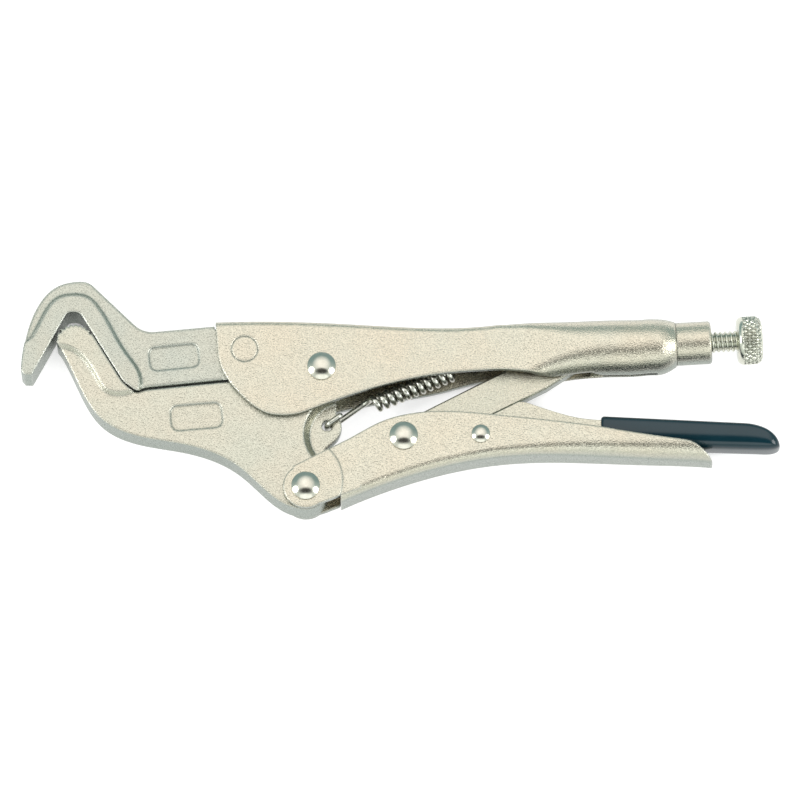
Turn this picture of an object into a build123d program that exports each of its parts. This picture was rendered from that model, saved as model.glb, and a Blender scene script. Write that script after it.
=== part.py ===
from build123d import *
import math
import os

os.makedirs("parts", exist_ok=True)

# Driving dimensions, in millimetres. The tool lies on its side: X runs from the jaws to the knob,
# Y runs from the moving handle to the fixed handle, Z is up from the bench.
tool_length = 250.0
plate_t = 11.0
nose_rise = 1.2
wall_t = 2.0
roof_r = 2.4
rivet_d = 6.0
head_d = 9.4
head_h = 2.2
foot_h = 1.7
pin_d = 8.7
lever_pin_d = 3.6
lever_head_d = 6.1
lever_head_h = 1.4
boss_r = 9.0
ear_r = 7.4
lug_t = 4.0
lug_hole_d = 3.7
toggle_t = 5.3
lever_w = 9.4
lever_sheet = 1.8
grip_t = 1.3
thread_d = 7.0
knob_d = 16.0
knob_len = 8.4
bush_d = 14.2
bush_len = 11.6
spigot_d = 10.2
wire_d = 1.5
coil_d = 6.0
coil_turns = 11
wire_sides = 5
panel_depth = 0.6
edge_cut = 0.5
step_cut = 1.1
slot_w = 7.0
seam_w = 2.0
wall_drop = 2.8
lug_draft = 30.0
tab_w = 5.6
tab_r = 1.4
nose_len = 17.0
tooth = 1.05
tooth_ring = 6.15
grip_r = 2.4
pin_cut = 0.15

# Clearances.
side_play = 0.2
pivot_play = 0.05
seat_play = 0.02
jaw_gap = 0.4
joggle = 0.3
thread_play = 0.1
tip_gap = 1.5
neck_gap = 0.1
neck_lip = 0.3
neck_flat = 0.1
tail_lip = 0.1
tab_play = 0.6

# Sizes that follow from the ones above.
k = tool_length / 250.0
inner_half = plate_t / 2 + side_play
outer_half = inner_half + wall_t
mid = outer_half + foot_h
flat_half = plate_t / 2
nose_half = flat_half + nose_rise
mid_plane = Plane.XY.offset(mid)


def at(x, y):
    """A point of the side view, measured from the main pivot: (x, y) scaled by tool_length / 250."""
    return (x * k, y * k)


main_pivot = at(0.0, 0.0)
tail_pivot = at(-5.15, -40.86)
toggle_pivot = at(27.06, -23.7)
toggle_end = at(85.8, 6.2)
lever_pivot = at(52.4, -23.06)
jaw_pin_at = at(-25.4, 6.0)
lug_hole_at = at(1.85, -18.8)

# The hook's mouth: a straight face from its foot to its top, and the side of it that is open.
mouth_foot = at(-66.3, -3.4)
mouth_top = at(-79.1, 17.5)
mouth_dir = (Vector(*mouth_top) - Vector(*mouth_foot)).normalized()
mouth_out = Vector(-mouth_dir.Y, mouth_dir.X)

screw_turn = 3.25
screw_dir = Vector(math.cos(math.radians(screw_turn)), math.sin(math.radians(screw_turn)), 0)
bush_x = 128.6
bush_face = Vector(bush_x * k, 10.34 * k, mid)


def along_screw(distance):
    """Plane square to the screw: origin = bush face + distance * screw direction, local X up."""
    up = (-screw_dir.Y, screw_dir.X, 0)
    return Plane(origin=bush_face + screw_dir * distance, x_dir=up, z_dir=screw_dir)


def across(x, y_low, y_high):
    """Plane square to X at x, centred between two heights: local X is Y, local Y is Z."""
    return Plane(origin=(x * k, (y_low + y_high) / 2 * k, mid), x_dir=(0, 1, 0), z_dir=(1, 0, 0))


# Fixed handle: a pressed channel that runs into a tube and a swaged neck.
# Each channel station: x, low edge (below the trimmed side), high edge.
channel_end = 58.0
channel = [
    (-36.0, -22.0, 15.58),
    (-3.0, -21.0, 15.58),
    (20.0, -15.0, 14.35),
    (39.0, -9.0, 13.65),
    (channel_end, -6.0, 14.75),
]
# Each tube station: x, low edge, high edge, half width over outer_half, corner radius over roof_r.
tube = [
    (channel_end, -6.0, 14.75, 0.0, 0.0),
    (66.0, -5.0, 15.4, 0.1, 0.8),
    (74.0, -3.2, 16.15, 0.5, 2.8),
    (83.0, -1.9, 16.8, 1.0, 5.0),
    (97.0, -1.15, 17.55, 1.4, 6.3),
    (106.0, -0.8, 17.8, 1.5, 6.6),
]
# Each neck station: distance before its end, drop below the screw's axis, radius.
neck_x = bush_x - bush_len - neck_gap
neck = [
    (8.3, -0.5, 9.3),
    (5.9, -0.6, 9.25),
    (3.7, -0.5, 8.9),
    (1.7, -0.3, 8.2),
    (0.0, 0.0, bush_d / 2 + neck_lip),
]
seam_end = (neck_x - 5.9) * k
with BuildPart() as upper_handle:
    for x, low, high in channel:
        with BuildSketch(across(x, low, high)):
            RectangleRounded((high - low) * k, 2 * outer_half, roof_r)
    loft()
    with BuildSketch(mid_plane):
        with BuildLine():
            Polyline(at(channel_end, 24.0), at(-35.0, 24.0), at(-35.0, 14.0), at(-34.3, 5.3))
            Spline(
                at(-34.3, 5.3),
                at(-29.1, -6.8),
                at(-19.6, -15.2),
                at(-12.2, -16.6),
                tangents=[(0.1, -1), (1, 0)],
            )
            rise = TangentArc(at(-12.2, -16.6), at(-5.0, -15.2), tangent=(1, 0))
            Spline(
                rise @ 1,
                at(25.5, -5.0 - wall_drop),
                at(39.0, -2.4 - wall_drop),
                at(channel_end, -0.9),
                tangents=[rise % 1, (1, 0.06)],
            )
            Line(at(channel_end, -0.9), at(channel_end, 24.0))
        make_face()
    extrude(amount=2 * outer_half, both=True, mode=Mode.INTERSECT)
    with BuildSketch(mid_plane):
        with BuildLine():
            Spline(
                rise @ 1,
                at(25.5, -5.0),
                at(39.0, -2.4),
                at(channel_end, -0.9),
                tangents=[rise % 1, (1, 0.06)],
            )
            Polyline(at(channel_end, -0.9), at(channel_end, -24.0), at(-5.0, -24.0), rise @ 1)
        make_face()
    extrude(amount=2 * outer_half, mode=Mode.SUBTRACT)
    for x, low, high, wider, rounder in tube:
        with BuildSketch(across(x, low, high)):
            RectangleRounded((high - low) * k, 2 * (outer_half + wider), roof_r + rounder)
    for distance, drop, radius in neck:
        with BuildSketch(along_screw((neck_x - bush_x - distance) * k)):
            with Locations((drop * k, 0)):
                RectangleRounded(2 * radius, 2 * radius, radius - neck_flat)
    loft()
    for x, low, high in channel:
        with BuildSketch(across(x, low - 2 * wall_t / k, high)):
            RectangleRounded((high - low) * k, 2 * inner_half, roof_r - wall_t)
    loft(mode=Mode.SUBTRACT)
    for x, low, high, wider, rounder in tube:
        floor = wall_t if x > channel_end else 0
        with BuildSketch(across(x, low - 2 * (wall_t - floor) / k, high)):
            RectangleRounded(
                (high - low) * k - 2 * floor,
                2 * (inner_half + wider),
                roof_r + rounder - wall_t,
            )
    loft(mode=Mode.SUBTRACT)
    with BuildSketch(mid_plane):
        with BuildLine():
            Spline(at(57.0, -0.95), at(66.0, -1.35), at(73.0, -2.2), at(83.0, -3.2))
            Polyline(at(83.0, -3.2), at(83.0, -12.0), at(57.0, -12.0), at(57.0, -0.95))
        make_face()
    extrude(amount=3 * outer_half, both=True, mode=Mode.SUBTRACT)
    with BuildSketch(Plane(origin=(0, -9.0 * k, mid), x_dir=(1, 0, 0), z_dir=(0, 1, 0))):
        with BuildLine():
            Polyline(at(60.0, 0), (60.0 * k, slot_w / 2), (89.0 * k, slot_w / 2), (93.0 * k, seam_w / 2))
            Polyline((93.0 * k, seam_w / 2), (seam_end, seam_w / 2), (seam_end, 0), at(60.0, 0))
        make_face()
        mirror(about=Plane.XZ)
    extrude(amount=12.0 * k, mode=Mode.SUBTRACT)
    with BuildSketch(along_screw(-24.0 * k)):
        Circle(spigot_d / 2 + seat_play)
    extrude(amount=14.0 * k, mode=Mode.SUBTRACT)
    with BuildSketch(mid_plane):
        with Locations(main_pivot):
            Circle(rivet_d / 2 + seat_play)
        with Locations(jaw_pin_at):
            Circle(pin_d / 2 + seat_play)
    extrude(amount=2 * outer_half, both=True, mode=Mode.SUBTRACT)
    with BuildSketch(across(49.2, 1.0, 12.9)):
        RectangleRounded(11.9 * k, tab_w, tab_r)
    extrude(amount=wall_t)
    with BuildSketch(across(47.0, 0.3, 5.5)):
        Circle(wire_d / 2 + tab_play)
    extrude(amount=3 * wall_t, mode=Mode.SUBTRACT)
upper_handle.part.label = "upper_handle"
export_step(upper_handle.part, "parts/upper_handle.step")


# Hook jaw. The mouth is a V between two straight faces with a round top.
with BuildPart() as upper_jaw:
    with BuildSketch(mid_plane) as hook:
        with BuildLine():
            Spline(
                at(-99.1, -1.2),
                at(-98.3, 7.0),
                at(-94.3, 20.3),
                at(-87.7, 28.0),
                at(-81.4, 29.8),
                at(-75.6, 28.3),
                tangents=[(0, 1), (1, -0.976)],
            )
            Line(at(-75.6, 28.3), at(-63.3, 16.3))
            Spline(
                at(-63.3, 16.3),
                at(-60.1, 13.6),
                at(-55.5, 12.5),
                tangents=[(1, -0.976), (1, 0.04)],
            )
            Polyline(at(-55.5, 12.5), at(-35.4, 14.4), at(-35.4, 13.3), at(-32.0, 13.4))
            Polyline(at(-32.0, 13.4), at(-32.0, -4.07), at(-57.0, -6.64))
            Spline(
                at(-57.0, -6.64),
                at(-60.6, -7.9),
                at(-64.0, -5.9),
                mouth_foot,
                tangents=[(-1, -0.1028), mouth_dir],
            )
            Line(mouth_foot, mouth_top)
            Spline(
                mouth_top,
                at(-81.9, 19.0),
                at(-84.7, 17.7),
                tangents=[mouth_dir, (-1, -1.861)],
            )
            Polyline(at(-84.7, 17.7), at(-95.5, -2.6), at(-98.0, -2.6), at(-99.1, -1.2))
        make_face()
    extrude(amount=flat_half, both=True)
    rim = upper_jaw.faces().filter_by(Axis.Z).edges()
    top_rim = rim.filter_by(lambda e: e.center().X < -36 * k and e.center().Y > 9 * k)
    low_rim = rim.filter_by(lambda e: -50 * k < e.center().X < -33 * k and e.center().Y < 0)
    chamfer(top_rim + low_rim, edge_cut)
    with BuildSketch(mid_plane):
        add(hook.sketch_local)
        with BuildLine():
            Spline(
                at(-97.7, 8.6),
                at(-92.0, 18.85),
                at(-87.2, 24.5),
                at(-82.4, 25.6),
                at(-77.4, 24.8),
                at(-72.6, 19.9),
                at(-64.1, 5.2),
                at(-59.4, -2.4),
                at(-60.0, -9.0),
            )
            Polyline(at(-60.0, -9.0), at(-104.0, -9.0), at(-104.0, 4.0), at(-97.7, 8.6))
        make_face(mode=Mode.INTERSECT)
    extrude(amount=nose_half, both=True)
    nose_faces = upper_jaw.faces().filter_by(
        lambda f: abs(abs(f.center().Z - mid) - nose_half) < 0.01
    )
    chamfer(nose_faces.edges().sort_by(Edge.length)[-2:], step_cut)
    with BuildSketch(mid_plane):
        with BuildLine():
            Polyline(
                at(-32.5, 13.4),
                at(-4.0, 13.4),
                at(-4.0, -1.2),
                at(-32.5, -4.12),
                close=True,
            )
        make_face()
        with Locations(main_pivot):
            Circle(boss_r + jaw_gap, mode=Mode.SUBTRACT)
    extrude(amount=flat_half, both=True)
    with BuildSketch(mid_plane):
        with Locations(jaw_pin_at):
            Circle(pin_d / 2 + seat_play)
    extrude(amount=plate_t, both=True, mode=Mode.SUBTRACT)
    with BuildSketch(Plane.XY.offset(mid + flat_half)):
        with Locations(Location((-48.7 * k, 3.75 * k, 0), (0, 0, 6))):
            RectangleRounded(16.4 * k, 8.2 * k, 2.4 * k)
    extrude(amount=-panel_depth, mode=Mode.SUBTRACT)
upper_jaw.part.label = "upper_jaw"
export_step(upper_jaw.part, "parts/upper_jaw.step")


# Moving jaw. Its nose lies along the hook's mouth with jaw_gap between them.
nose_foot = Vector(*mouth_foot) + mouth_out * jaw_gap
nose_top = nose_foot + mouth_dir * (nose_len * k)
tooth_mid = at(-81.4, 8.6)
with BuildPart() as lower_jaw:
    with BuildSketch(mid_plane) as nose:
        with BuildLine():
            ThreePointArc(at(-86.9, 12.2), at(-81.6, 14.55), nose_top)
            Line(nose_top, nose_foot)
            Spline(
                nose_foot,
                at(-64.4, -6.3),
                at(-60.7, -8.4),
                at(-57.0, -7.5),
                tangents=[mouth_dir * -1, (1, 0.103)],
            )
            Polyline(at(-57.0, -7.5), at(-8.0, -2.45), main_pivot, at(4.6, -5.0), at(4.8, -13.2))
            Spline(
                at(4.8, -13.2),
                at(6.6, -18.6),
                at(5.6, -22.6),
                at(1.2, -26.9),
                tangents=[(0, -1), (-1, -1)],
            )
            Polyline(at(1.2, -26.9), at(2.3, -40.86), tail_pivot, at(-5.8, -48.3))
            Spline(
                at(-5.8, -48.3),
                at(-11.1, -46.9),
                at(-26.96, -33.9),
                at(-45.4, -26.1),
                at(-64.6, -22.0),
                at(-71.8, -18.0),
                at(-79.76, -6.4),
                at(-87.4, 8.6),
            )
            Line(at(-87.4, 8.6), at(-86.9, 12.2))
        make_face()
        with Locations(main_pivot):
            Circle(boss_r)
        with Locations(tail_pivot):
            Circle(ear_r + tail_lip)
    extrude(amount=flat_half, both=True)
    with BuildSketch(mid_plane):
        add(nose.sketch_local)
        with BuildLine():
            Spline(
                at(-87.6, 6.9),
                at(-80.6, 4.6),
                at(-75.6, -1.8),
                at(-70.6, -8.7),
                at(-66.0, -9.4),
                at(-60.8, -7.6),
            )
            Polyline(at(-60.8, -7.6), at(-60.0, 20.0), at(-95.0, 20.0), at(-87.6, 6.9))
        make_face(mode=Mode.INTERSECT)
    extrude(amount=nose_half, both=True)
    nose_faces = lower_jaw.faces().filter_by(
        lambda f: abs(abs(f.center().Z - mid) - nose_half) < 0.01
    )
    chamfer(nose_faces.edges().sort_by(Edge.length)[-2:], step_cut)
    with BuildSketch(mid_plane):
        with Locations(tooth_mid):
            with PolarLocations(tooth_ring * k, 8, 32, 112, endpoint=True):
                Rectangle(tooth * k, tooth * k, rotation=45)
    extrude(amount=plate_t, both=True, mode=Mode.SUBTRACT)
    for lug_face, way in ((lug_t / 2, 1), (-lug_t / 2, -1)):
        with BuildSketch(Plane.XY.offset(mid + lug_face)):
            with Locations(at(7.2, -22.3)):
                Circle(11.1 * k)
        extrude(amount=way * plate_t, taper=-lug_draft, mode=Mode.SUBTRACT)
    with BuildSketch(mid_plane):
        with Locations(main_pivot, tail_pivot):
            Circle(rivet_d / 2 + pivot_play)
        with Locations(lug_hole_at):
            Circle(lug_hole_d / 2)
    extrude(amount=plate_t, both=True, mode=Mode.SUBTRACT)
    with BuildSketch(Plane.XY.offset(mid + flat_half)):
        with Locations(Location((-41.2 * k, -16.6 * k, 0), (0, 0, 5))):
            RectangleRounded(17.0 * k, 8.7 * k, 2.5 * k)
    extrude(amount=-panel_depth, mode=Mode.SUBTRACT)
lower_jaw.part.label = "lower_jaw"
export_step(lower_jaw.part, "parts/lower_jaw.step")


# Moving handle: a pressed trough behind two ears.
# Each station: x, low edge, high edge (above the trimmed top), half width over outer_half, corner.
trough = [
    (6.4, -45.95, -16.0, -0.3, 3.0),
    (20.0, -40.2, -9.0, -0.3, 3.0),
    (36.0, -34.95, -6.0, -0.3, 3.0),
    (54.0, -31.1, -6.0, -0.2, 3.1),
    (76.0, -29.65, -8.0, 0.3, 3.8),
    (102.0, -30.6, -11.0, 0.8, 5.2),
    (130.0, -32.1, -14.0, 0.9, 6.2),
]
with BuildPart() as lower_handle:
    for x, low, high, wider, corner in trough:
        with BuildSketch(across(x, low, high)):
            RectangleRounded((high - low) * k, 2 * (outer_half + wider), corner)
    loft()
    with BuildSketch(mid_plane):
        with BuildLine():
            Spline(
                at(6.4, -26.1),
                at(20.5, -18.5),
                at(33.0, -15.6),
                at(55.6, -16.3),
                at(92.0, -20.8),
                at(119.4, -25.2),
                tangents=[(1, 0.5), (1, -0.14)],
            )
            Spline(
                at(119.4, -25.2),
                at(126.2, -29.0),
                at(129.2, -34.6),
                tangents=[(1, -0.14), (0, -1)],
            )
            Polyline(at(129.2, -34.6), at(129.2, -50.0), at(6.4, -50.0), at(6.4, -26.1))
        make_face()
    extrude(amount=2 * outer_half, both=True, mode=Mode.INTERSECT)
    with BuildSketch(mid_plane):
        with Locations(tail_pivot):
            Circle(ear_r)
        with BuildLine():
            Polyline(at(6.0, -44.2), at(1.8, -45.9), at(-5.15, -48.26), at(-9.4, -34.15), at(2.3, -28.16))
            ThreePointArc(at(2.3, -28.16), at(6.2, -34.2), at(6.0, -44.2))
        make_face()
    extrude(amount=outer_half, both=True)
    with BuildSketch(mid_plane):
        with BuildLine():
            Polyline(
                at(0.0, -29.34),
                at(11.4, -23.5),
                at(13.0, -41.5),
                at(6.4, -43.9),
                at(0.0, -43.9),
                close=True,
            )
        make_face()
    extrude(amount=outer_half - joggle, both=True)
    with BuildSketch(Plane.XY.offset(mid - inner_half)):
        with BuildLine():
            Polyline(at(-16, -52), at(-16, -24), at(14, -24), at(14, -41), at(6.2, -44.5), close=True)
        make_face()
        with BuildLine():
            Polyline(at(-16, -52), at(-16, -40), at(6.2, -40), at(6.2, -52), close=True)
        make_face()
    extrude(amount=2 * inner_half, mode=Mode.SUBTRACT)
    for x, low, high, wider, corner in trough:
        with BuildSketch(across(x - 0.2 if x > 10 else x - 3, low + wall_t / k, high + wall_t / k)):
            RectangleRounded((high - low) * k, 2 * (inner_half + wider), corner - wall_t)
    loft(mode=Mode.SUBTRACT)
    with BuildSketch(mid_plane):
        with Locations(tail_pivot, toggle_pivot):
            Circle(rivet_d / 2 + seat_play)
        with Locations(lever_pivot):
            Circle(lever_pin_d / 2 + seat_play)
    extrude(amount=2 * outer_half, both=True, mode=Mode.SUBTRACT)
lower_handle.part.label = "lower_handle"
export_step(lower_handle.part, "parts/lower_handle.step")


# Rivets. Each is turned about its own pivot, with a dome above and a flat formed head below.
def rivet_half(shank_r, cap_r, cap_h, half):
    """Half outline of a rivet through walls at mid +- half: radius along local X, height along Y."""
    top = mid + half
    with BuildLine() as outline:
        Polyline(
            (0, 0),
            (cap_r * 0.7, 0),
            (cap_r * 0.95, mid - half),
            (shank_r, mid - half),
            (shank_r, top),
            (cap_r, top),
            (cap_r, top + cap_h * 0.25),
        )
        TangentArc((0, top + cap_h), (cap_r, top + cap_h * 0.25), tangent=(1, 0))
        Line((0, top + cap_h), (0, 0))
    return outline.line


def upright(point):
    """Plane through the vertical line at a pivot: local X is X, local Y is Z."""
    return Plane(origin=(*point, 0), x_dir=(1, 0, 0), z_dir=(0, -1, 0))


with BuildPart() as main_rivet:
    with BuildSketch(upright(main_pivot)):
        add(rivet_half(rivet_d / 2, head_d / 2, head_h, outer_half))
        make_face()
    revolve(axis=Axis((*main_pivot, 0), (0, 0, 1)))
main_rivet.part.label = "main_rivet"
export_step(main_rivet.part, "parts/main_rivet.step")

with BuildPart() as tail_rivet:
    with BuildSketch(upright(tail_pivot)):
        add(rivet_half(rivet_d / 2, head_d / 2, head_h, outer_half))
        make_face()
    revolve(axis=Axis((*tail_pivot, 0), (0, 0, 1)))
tail_rivet.part.label = "tail_rivet"
export_step(tail_rivet.part, "parts/tail_rivet.step")

with BuildPart() as toggle_rivet:
    with BuildSketch(upright(toggle_pivot)):
        add(rivet_half(rivet_d / 2, head_d / 2, head_h, outer_half - joggle + seat_play))
        make_face()
    revolve(axis=Axis((*toggle_pivot, 0), (0, 0, 1)))
toggle_rivet.part.label = "toggle_rivet"
export_step(toggle_rivet.part, "parts/toggle_rivet.step")

with BuildPart() as lever_rivet:
    with BuildSketch(upright(lever_pivot)):
        add(rivet_half(lever_pin_d / 2, lever_head_d / 2, lever_head_h, outer_half - joggle * 0.6))
        make_face()
    revolve(axis=Axis((*lever_pivot, 0), (0, 0, 1)))
lever_rivet.part.label = "lever_rivet"
export_step(lever_rivet.part, "parts/lever_rivet.step")

with BuildPart() as jaw_pin:
    with BuildSketch(Plane.XY.offset(mid - outer_half)):
        with Locations(jaw_pin_at):
            Circle(pin_d / 2)
    extrude(amount=2 * outer_half)
    chamfer(jaw_pin.edges().filter_by(GeomType.CIRCLE), pin_cut)
jaw_pin.part.label = "jaw_pin"
export_step(jaw_pin.part, "parts/jaw_pin.step")


# Toggle link: a blade from its boss in the moving handle to its round end before the screw.
link = Vector(toggle_end[0] - toggle_pivot[0], toggle_end[1] - toggle_pivot[1])
link_dir = link.normalized()
link_up = Vector(-link_dir.Y, link_dir.X)
blade_half = 5.8 * k
link_tip_r = 4.0
link_plane = Plane(origin=(*toggle_pivot, mid), x_dir=link_dir, z_dir=(0, 0, 1))
with BuildPart() as toggle_link:
    with BuildSketch(link_plane):
        with BuildLine():
            Polyline((0, 5.5 * k), (30 * k, blade_half), (50 * k, blade_half), (link.length, link_tip_r))
            ThreePointArc(
                (link.length, link_tip_r), (link.length + link_tip_r, 0), (link.length, -link_tip_r)
            )
            Polyline(
                (link.length, -link_tip_r),
                (50 * k, -blade_half),
                (30 * k, -blade_half),
                (0, -5.5 * k),
                (0, 5.5 * k),
            )
        make_face()
    extrude(amount=toggle_t / 2, both=True)
    blade_edges = toggle_link.faces().filter_by(Axis.Z).edges()
    chamfer(blade_edges.filter_by(lambda e: 12 * k < e.length < 40 * k), edge_cut)
    with BuildSketch(mid_plane):
        with Locations(toggle_pivot):
            Circle(5.5 * k)
    extrude(amount=inner_half - joggle - side_play, both=True)
    with BuildSketch(mid_plane):
        with Locations(toggle_pivot):
            Circle(rivet_d / 2 + pivot_play)
    extrude(amount=plate_t, both=True, mode=Mode.SUBTRACT)
toggle_link.part.label = "toggle_link"
export_step(toggle_link.part, "parts/toggle_link.step")


# Release lever: folded sheet, open below, whose nose lies under the toggle link.
def by_link(distance, drop):
    """A point under the link: pivot + distance along it, drop below its lower edge."""
    spot = Vector(*toggle_pivot) + link_dir * (distance * k) - link_up * (blade_half + drop)
    return (spot.X, spot.Y)


nose_back = by_link(27.0, jaw_gap)
nose_tip = by_link(39.4, jaw_gap)
with BuildPart() as release_lever:
    with BuildSketch(mid_plane):
        with BuildLine():
            Line(nose_back, nose_tip)
            Spline(
                nose_tip,
                at(69.6, -12.3),
                at(79.9, -15.7),
                at(92.0, -17.6),
                tangents=[(1, 0.1), (1, -0.05)],
            )
            Line(at(92.0, -17.6), at(136.0, -19.6))
            Spline(
                at(136.0, -19.6),
                at(145.0, -21.6),
                at(148.9, -25.4),
                tangents=[(1, -0.05), (0.3, -1)],
            )
            Polyline(
                at(148.9, -25.4),
                at(128.0, -25.1),
                at(92.0, -23.9),
                at(64.0, -26.9),
                at(52.4, -27.6),
                at(49.0, -20.2),
                nose_back,
            )
        make_face()
        with Locations(lever_pivot):
            Circle(4.6 * k)
    extrude(amount=lever_w / 2, both=True)
    with BuildSketch(mid_plane):
        with BuildLine():
            Polyline(
                at(40.0, -18.4),
                by_link(28.0, jaw_gap + lever_sheet),
                by_link(38.6, jaw_gap + lever_sheet),
                at(69.0, -14.3),
                at(79.3, -17.6),
                at(92.0, -19.5),
                at(97.0, -19.7),
                at(97.0, -36.0),
                at(40.0, -36.0),
                close=True,
            )
        make_face()
    extrude(amount=lever_w / 2 - lever_sheet, both=True, mode=Mode.SUBTRACT)
    with BuildSketch(mid_plane):
        with Locations(lever_pivot):
            Circle(lever_pin_d / 2 + pivot_play)
    extrude(amount=plate_t, both=True, mode=Mode.SUBTRACT)
release_lever.part.label = "release_lever"
export_step(release_lever.part, "parts/release_lever.step")


# Dipped coat on the lever's tail, grip_t thick all round.
with BuildPart() as lever_grip:
    with BuildSketch(mid_plane):
        with BuildLine():
            Line(at(92.0, -15.9), at(139.4, -18.25))
            Spline(
                at(139.4, -18.25),
                at(147.2, -20.9),
                at(150.9, -27.2),
                tangents=[(1, -0.04958), (0.25, -1)],
            )
            Polyline(at(150.9, -27.2), at(92.0, -25.6), at(92.0, -15.9))
        make_face()
    extrude(amount=lever_w / 2 + grip_t, both=True)
    coat_edges = lever_grip.faces().filter_by(Axis.Z).edges()
    fillet(coat_edges.filter_by(lambda e: e.length > 15 * k), grip_r)
    add(release_lever.part, mode=Mode.SUBTRACT)
lever_grip.part.label = "lever_grip"
export_step(lever_grip.part, "parts/lever_grip.step")


# Adjusting screw with its knob, and the threaded bush in the neck of the fixed handle.
tip_at = (Vector(*toggle_end, mid) - bush_face).dot(screw_dir) + link_tip_r + tip_gap
core_r = thread_d * 0.44
knob_at = 8.6 * k
screw_axis = Axis(bush_face, screw_dir)
screw_plane = Plane(origin=bush_face, x_dir=screw_dir, z_dir=(0, 0, 1))
with BuildPart() as adjusting_screw:
    with BuildSketch(screw_plane):
        with BuildLine():
            Polyline(
                (tip_at, 0),
                (tip_at, core_r - 0.8),
                (tip_at + 0.8, core_r),
                (knob_at, core_r),
                (knob_at, knob_d * 0.41),
                (knob_at + knob_len * 0.08, knob_d * 0.465),
                (knob_at + knob_len * 0.22, knob_d * 0.5),
                (knob_at + knob_len * 0.7, knob_d * 0.5),
                (knob_at + knob_len * 0.86, knob_d * 0.475),
                (knob_at + knob_len * 0.96, knob_d * 0.42),
                (knob_at + knob_len, knob_d * 0.34),
                (knob_at + knob_len, 0),
                (tip_at, 0),
            )
        make_face()
    revolve(axis=screw_axis)
adjusting_screw.part.label = "adjusting_screw"
export_step(adjusting_screw.part, "parts/adjusting_screw.step")

bore_r = thread_d / 2 + thread_play
with BuildPart() as end_bush:
    with BuildSketch(screw_plane):
        with BuildLine():
            Polyline(
                (-bush_len * k - 6.0 * k, bore_r),
                (-bush_len * k - 6.0 * k, spigot_d / 2),
                (-bush_len * k, spigot_d / 2),
                (-bush_len * k, bush_d / 2),
                (-edge_cut, bush_d / 2),
                (0, bush_d / 2 - edge_cut),
                (0, bore_r),
                close=True,
            )
        make_face()
    revolve(axis=screw_axis)
end_bush.part.label = "end_bush"
export_step(end_bush.part, "parts/end_bush.step")


# Return spring: one wire, hooked through the lug, wound on a slanted axis, through the handle's tab.
coil_r = (coil_d - wire_d) / 2
coil_start = Vector(17.3 * k, -10.95 * k, mid)
coil_end = Vector(43.4 * k, 0.15 * k, mid)
axis_dir = (coil_end - coil_start).normalized()
side_dir = Vector(-axis_dir.Y, axis_dir.X, 0)
up_dir = Vector(0, 0, 1)
turn_rise = (coil_end - coil_start).length / coil_turns
hook_z = lug_t / 2 + wire_d * 0.75
leg_dir = Vector(math.cos(math.radians(36)), math.sin(math.radians(36)), 0)


def on_coil(turn):
    """Coil point and direction: start + axis rise turn + radius (side cos a + up sin a), a = 2 pi turn."""
    a = 2 * math.pi * turn
    place = coil_start + axis_dir * (turn_rise * turn)
    place = place + side_dir * (coil_r * math.cos(a)) + up_dir * (coil_r * math.sin(a))
    way = axis_dir * (turn_rise / (2 * math.pi))
    way = way - side_dir * (coil_r * math.sin(a)) + up_dir * (coil_r * math.cos(a))
    return place, way.normalized()


def biarc(p0, t0, p1, t1):
    """Two arcs from p0 along t0 to p1 along t1, joined where p0 + d t0 and p1 - d t1 meet halfway."""
    v = p1 - p0
    t = t0 + t1
    c = 2 * (1 - t0.dot(t1))
    if c < 1e-6:
        Line(p0, p1)
        return
    d = (-v.dot(t) + math.sqrt(v.dot(t) ** 2 + c * v.dot(v))) / c
    joint = ((p0 + t0 * d) + (p1 - t1 * d)) * 0.5
    joint_dir = (p1 - t1 * d) - (p0 + t0 * d)
    TangentArc(p0, joint, tangent=t0)
    TangentArc(joint, p1, tangent=joint_dir)


lug_point = Vector(*lug_hole_at, mid)
bend = wire_d * 1.25
tab_point = coil_start + axis_dir * ((50.2 * k - coil_start.X) / axis_dir.X)
with BuildPart() as return_spring:
    with BuildLine() as wire:
        free_end = lug_point + leg_dir * 6.2 + up_dir * hook_z
        front = lug_point + leg_dir * bend + up_dir * hook_z
        Line(free_end, front)
        inside_top = lug_point + up_dir * (hook_z - bend)
        TangentArc(front, inside_top, tangent=leg_dir * -1)
        inside_low = lug_point - up_dir * (hook_z - bend)
        Line(inside_top, inside_low)
        back = lug_point + leg_dir * bend - up_dir * hook_z
        TangentArc(inside_low, back, tangent=up_dir * -1)
        leg_end = lug_point + leg_dir * (13.6 * k) - up_dir * hook_z
        Line(back, leg_end)
        first, first_dir = on_coil(0.0)
        biarc(leg_end, leg_dir, first, first_dir)
        for half_turn in range(2 * coil_turns):
            here, here_dir = on_coil(half_turn / 2)
            there, there_dir = on_coil((half_turn + 1) / 2)
            biarc(here, here_dir, there, there_dir)
        last, last_dir = on_coil(coil_turns)
        run_out = tab_point - axis_dir * 2.0
        biarc(last, last_dir, run_out, axis_dir)
        turn_up = tab_point + axis_dir * 2.6
        Line(run_out, turn_up)
        up_end = turn_up + axis_dir * bend + side_dir * bend
        TangentArc(turn_up, up_end, tangent=axis_dir)
        Line(up_end, up_end + side_dir * 2.5)
    path = wire.wires()[0]
    with BuildSketch(Plane(origin=free_end, z_dir=leg_dir * -1)):
        RegularPolygon(wire_d / 2, wire_sides)
    sweep(path=path)
return_spring.part.label = "return_spring"
export_step(return_spring.part, "parts/return_spring.step")

# Least gap of the wire to itself, on points along its middle line that lie over three wires apart.
spots = [path.position_at(i / 900) for i in range(901)]
step = path.length / 900
apart = int(3 * wire_d / step) + 1
least = min(
    (spots[i] - spots[j]).length for i in range(901) for j in range(i + apart, 901)
)
print("least gap of the spring to itself:", round(least - wire_d, 2), "mm")
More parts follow.
